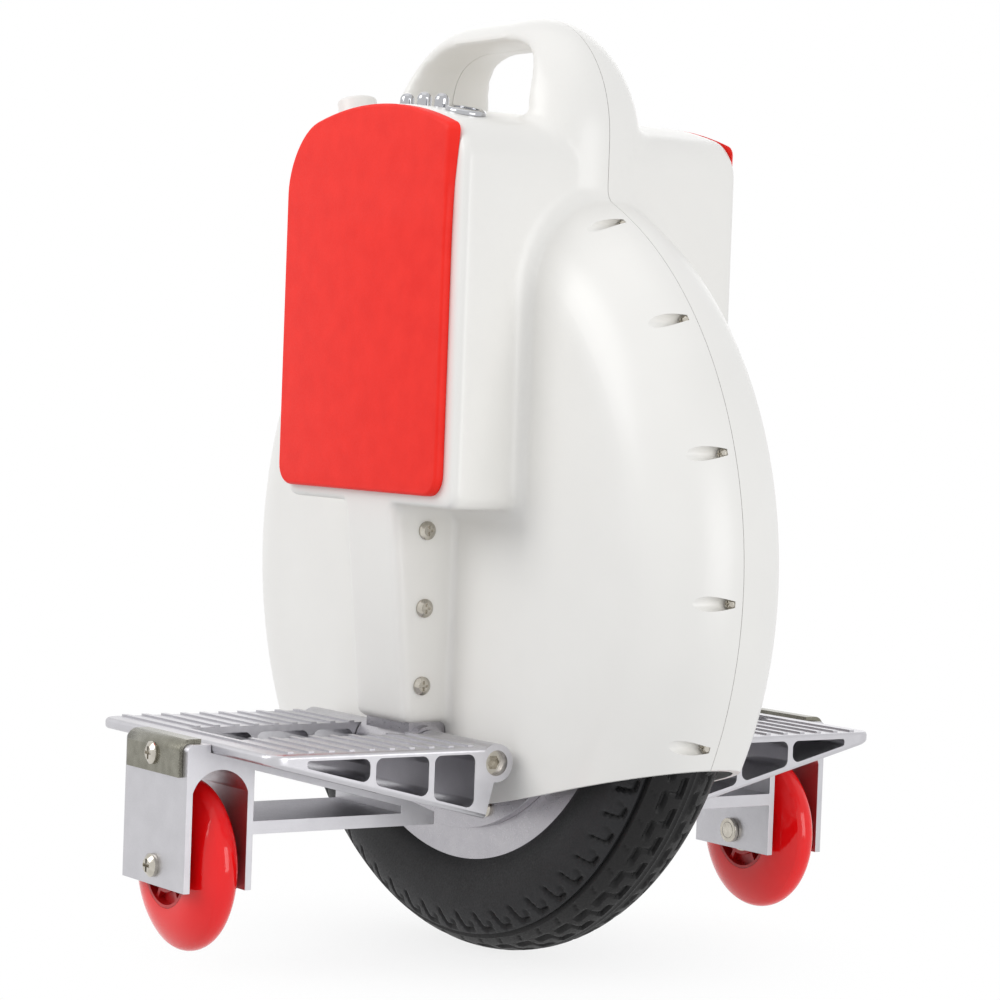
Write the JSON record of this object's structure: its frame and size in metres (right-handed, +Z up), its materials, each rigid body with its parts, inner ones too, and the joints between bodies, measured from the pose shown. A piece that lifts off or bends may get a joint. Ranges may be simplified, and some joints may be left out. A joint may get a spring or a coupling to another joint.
{
  "type": "electric unicycle",
  "caption": "Self-balancing electric unicycle: domed white shell round a hub-motor wheel, arched carry handle, red leg pads, fold-up ribbed pedals and clip-on stabiliser rollers.",
  "frame": {"origin": "where the tyre meets the floor, under the middle of the wheel", "axes": "+X forwards, +Y to the rider's left along the axle, +Z up"},
  "size_m": [0.379, 0.377, 0.447],
  "materials": {
    "moulded_shell": "satin moulded",
    "side_pad": "satin foam rubber",
    "extruded_aluminium": "blasted",
    "cast_aluminium": "cast and turned",
    "plated_steel": "zinc plated",
    "zinc_clip": "zinc plated, dull",
    "bronze_bush": "turned",
    "chrome_trim": "polished",
    "tyre_rubber": "moulded",
    "tube_rubber": "smooth",
    "roller_urethane": "cast urethane",
    "roller_core": "moulded",
    "magnets": "nickel plated",
    "laminations": "stacked",
    "copper_windings": "enamelled wire",
    "battery_wrap": "shrink wrap",
    "circuit_board": "laminate",
    "socket_plastic": "moulded"
  },
  "bodies": {
    "chassis": {"left_half_shell": "moulded_shell", "right_half_shell": "moulded_shell", "left_side_pad": "side_pad", "right_side_pad": "side_pad", "left_hanger": "cast_aluminium", "right_hanger": "cast_aluminium", "left_hinge_bush": "bronze_bush", "right_hinge_bush": "bronze_bush", "axle": "plated_steel", "axle_spacers": "plated_steel", "axle_washers": "plated_steel", "axle_nuts": "plated_steel", "stator": "laminations", "windings": "copper_windings", "seam_screws": "plated_steel", "column_screws": "plated_steel", "left_inner_cover": "moulded_shell", "right_inner_cover": "moulded_shell", "battery_pack": "battery_wrap", "heat_sink": "extruded_aluminium", "control_board": "circuit_board", "motor_cable": "tube_rubber", "button_bezel": "chrome_trim", "indicator_lamps": "chrome_trim", "charge_socket": "socket_plastic"},
    "wheel": {"rim": "cast_aluminium", "magnet_ring": "magnets", "left_motor_cover": "cast_aluminium", "right_motor_cover": "cast_aluminium", "cover_screws": "plated_steel", "hub_bearings": "plated_steel", "tyre": "tyre_rubber", "inner_tube": "tube_rubber"},
    "left_pedal_arm": {"left_pedal": "extruded_aluminium", "left_hinge_pin": "plated_steel", "left_bracket": "extruded_aluminium", "left_clip": "zinc_clip", "left_clip_screw": "plated_steel", "left_roller_bolt": "plated_steel", "left_roller_nut": "plated_steel"},
    "left_roller": {"left_roller_tyre": "roller_urethane", "left_roller_hub": "roller_core", "left_roller_bearings": "plated_steel"},
    "right_pedal_arm": {"right_pedal": "extruded_aluminium", "right_hinge_pin": "plated_steel", "right_bracket": "extruded_aluminium", "right_clip": "zinc_clip", "right_clip_screw": "plated_steel", "right_roller_bolt": "plated_steel", "right_roller_nut": "plated_steel"},
    "right_roller": {"right_roller_tyre": "roller_urethane", "right_roller_hub": "roller_core", "right_roller_bearings": "plated_steel"},
    "button": {"power_button": "chrome_trim"},
    "cap": {"charge_cap": "moulded_shell"}
  },
  "joints": [
    {"name": "wheel_spin", "type": "hinge", "parent": "chassis", "child": "wheel", "pos_m": [0, 0, 0.1775], "axis": [0, 1, 0], "continuous": true},
    {"name": "left_pedal_fold", "type": "hinge", "parent": "chassis", "child": "left_pedal_arm", "pos_m": [0, 0.053, 0.1005], "axis": [1, 0, 0], "range_deg": [0, 65]},
    {"name": "left_roller_spin", "type": "hinge", "parent": "left_pedal_arm", "child": "left_roller", "pos_m": [0, 0.1667, 0.0492], "axis": [0, 1, 0], "continuous": true},
    {"name": "right_pedal_fold", "type": "hinge", "parent": "chassis", "child": "right_pedal_arm", "pos_m": [0, -0.053, 0.1005], "axis": [-1, 0, 0], "range_deg": [0, 65]},
    {"name": "right_roller_spin", "type": "hinge", "parent": "right_pedal_arm", "child": "right_roller", "pos_m": [0, -0.1667, 0.0492], "axis": [0, 1, 0], "continuous": true},
    {"name": "power_button_press", "type": "slide", "parent": "chassis", "child": "button", "axis": [-0.225, 0, -0.9744], "range_m": [0, 0.0015], "stiffness_N_per_m": 400},
    {"name": "charge_cap_lift", "type": "slide", "parent": "chassis", "child": "cap", "axis": [-0.225, 0, 0.9744], "range_m": [0, 0.012]}
  ]
}
